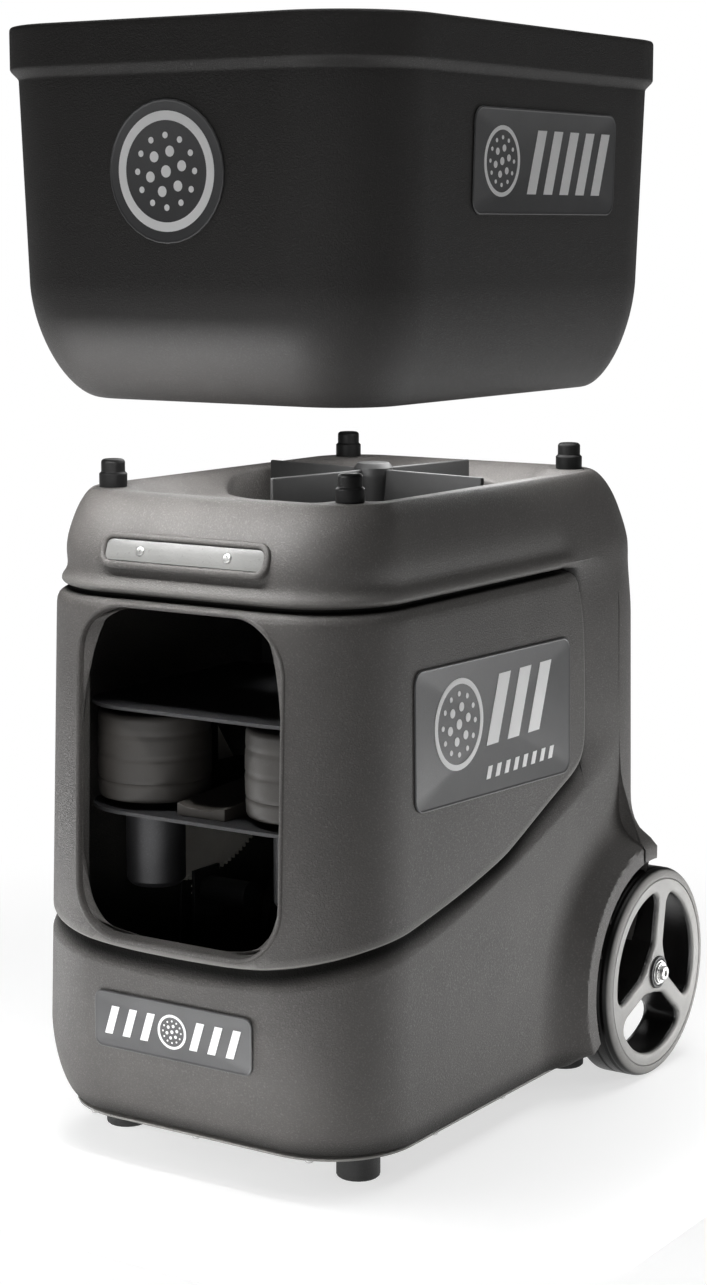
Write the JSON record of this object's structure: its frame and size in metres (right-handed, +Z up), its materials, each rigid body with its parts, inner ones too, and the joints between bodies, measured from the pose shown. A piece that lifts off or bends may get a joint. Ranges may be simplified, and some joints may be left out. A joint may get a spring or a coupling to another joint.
{
  "type": "pickleball machine",
  "caption": "Wheeled pickleball throwing machine: moulded body with a firing window, feed rotor in the deck, lift-off ball hopper, and a head that yaws and tilts.",
  "frame": {"origin": "floor level, at the middle of the bounding box's width and depth", "axes": "+Z up; -Y is the front, the way the machine throws; +X is to the right of someone behind it who looks at the target"},
  "size_m": [0.4426, 0.583, 0.966],
  "materials": {
    "body_plastic": "coarse-grained warm dark grey moulded plastic",
    "black_plastic": "satin black plastic",
    "foot_rubber": "matt black rubber",
    "tyre_rubber": "matt black rubber",
    "rim_plastic": "satin pale grey plastic",
    "wheel_urethane": "satin pale grey urethane",
    "guide_plastic": "satin beige plastic",
    "steel": "bright zinc-plated steel",
    "aluminium_tube": "satin aluminium",
    "dark_metal": "satin black coated metal",
    "lens": "frosted white lens",
    "plate": null,
    "nylon": "natural nylon",
    "red_plastic": "glossy red insulation",
    "battery_case": "matt dark plastic case"
  },
  "bodies": {
    "machine_base": {"body_shell": "body_plastic", "base_plate": "dark_metal", "foot_front_left": "foot_rubber", "foot_front_right": "foot_rubber", "foot_rear_left": "foot_rubber", "foot_rear_right": "foot_rubber", "top_tray": "body_plastic", "locating_post_front_left": "black_plastic", "locating_post_front_right": "black_plastic", "locating_post_rear_left": "black_plastic", "locating_post_rear_right": "black_plastic", "light_bezel": "body_plastic", "light_lens": "lens", "front_plate": "plate", "side_plate_left": "plate", "side_plate_right": "plate", "rotor_gearmotor": "dark_metal", "feed_tube": "guide_plastic", "bearing_ring": "dark_metal", "yaw_motor": "dark_metal", "battery": "battery_case", "control_box": "black_plastic", "axle_bolt": "steel", "axle_bracket": "dark_metal", "axle_nut": "steel", "handle_sleeves": "aluminium_tube", "control_panel": "plate", "charge_socket": "black_plastic"},
    "hopper": {"hopper_shell": "body_plastic", "hopper_badge": "plate", "hopper_plate_left": "plate", "hopper_plate_right": "plate"},
    "rotor": {"feed_rotor": "black_plastic"},
    "turret": {"turntable": "dark_metal", "yoke_left": "dark_metal", "yoke_right": "dark_metal", "tilt_pin_left": "steel", "tilt_pin_right": "steel", "tilt_motor": "dark_metal"},
    "yaw_gear": {"yaw_pinion": "nylon"},
    "tilt_gear": {"tilt_pinion": "nylon"},
    "head": {"head_frame": "dark_metal", "head_top_plate": "dark_metal", "tilt_sector": "nylon", "ball_guide": "guide_plastic", "ball_ramp": "guide_plastic", "throw_motor_left": "dark_metal", "throw_motor_right": "dark_metal", "lead_plug": "red_plastic", "red_lead": "red_plastic"},
    "throw_left": {"throw_wheel_left": "wheel_urethane"},
    "throw_right": {"throw_wheel_right": "wheel_urethane"},
    "wheel_left": {"wheel_rim_left": "rim_plastic", "wheel_tyre_left": "tyre_rubber"},
    "wheel_right": {"wheel_rim_right": "rim_plastic", "wheel_tyre_right": "tyre_rubber"},
    "handle": {"pull_handle": "black_plastic"},
    "rocker": {"power_rocker": "black_plastic"},
    "speed_dial": {"speed_knob": "black_plastic"},
    "feed_dial": {"feed_knob": "black_plastic"}
  },
  "joints": [
    {"name": "hopper_lift", "type": "slide", "parent": "machine_base", "child": "hopper", "axis": [0, 0, 1], "range_m": [-0.0777, 0]},
    {"name": "rotor_spin", "type": "hinge", "parent": "machine_base", "child": "rotor", "pos_m": [0, 0.0205, 0.55], "axis": [0, 0, 1], "continuous": true},
    {"name": "head_yaw", "type": "hinge", "parent": "machine_base", "child": "turret", "pos_m": [0, -0.0625, 0.0803], "axis": [0, 0, 1], "range_deg": [-15, 15]},
    {"name": "yaw_gear_spin", "type": "hinge", "parent": "machine_base", "child": "yaw_gear", "pos_m": [0, 0.0695, 0.08], "axis": [0, 0, 1], "range_deg": [-155, 155]},
    {"name": "head_tilt", "type": "hinge", "parent": "turret", "child": "head", "pos_m": [0, -0.0625, 0.35], "axis": [-1, 0, 0], "range_deg": [-5, 30]},
    {"name": "tilt_gear_spin", "type": "hinge", "parent": "turret", "child": "tilt_gear", "pos_m": [0, -0.0625, 0.188], "axis": [-1, 0, 0], "range_deg": [-380, 65]},
    {"name": "throw_left_spin", "type": "hinge", "parent": "head", "child": "throw_left", "pos_m": [-0.079, -0.2075, 0.35], "axis": [0, 0, 1], "continuous": true},
    {"name": "throw_right_spin", "type": "hinge", "parent": "head", "child": "throw_right", "pos_m": [0.079, -0.2075, 0.35], "axis": [0, 0, 1], "continuous": true},
    {"name": "wheel_left_spin", "type": "hinge", "parent": "machine_base", "child": "wheel_left", "pos_m": [-0.192, 0.1915, 0.1], "axis": [1, 0, 0], "continuous": true},
    {"name": "wheel_right_spin", "type": "hinge", "parent": "machine_base", "child": "wheel_right", "pos_m": [0.192, 0.1915, 0.1], "axis": [1, 0, 0], "continuous": true},
    {"name": "handle_slide", "type": "slide", "parent": "machine_base", "child": "handle", "axis": [0, 0, 1], "range_m": [0, 0.33]},
    {"name": "rocker_rock", "type": "hinge", "parent": "machine_base", "child": "rocker", "pos_m": [0.045, 0.2685, 0.4], "axis": [1, 0, 0], "range_deg": [0, 12]},
    {"name": "speed_turn", "type": "hinge", "parent": "machine_base", "child": "speed_dial", "pos_m": [-0.045, 0.2698, 0.38], "axis": [0, 1, 0], "range_deg": [0, 270]},
    {"name": "feed_turn", "type": "hinge", "parent": "machine_base", "child": "feed_dial", "pos_m": [0, 0.2698, 0.38], "axis": [0, 1, 0], "range_deg": [0, 270]}
  ],
  "couplings": [
    {"joint": "yaw_gear_spin", "follows": "head_yaw", "ratio": -10},
    {"joint": "tilt_gear_spin", "follows": "head_tilt", "ratio": -12.5}
  ]
}
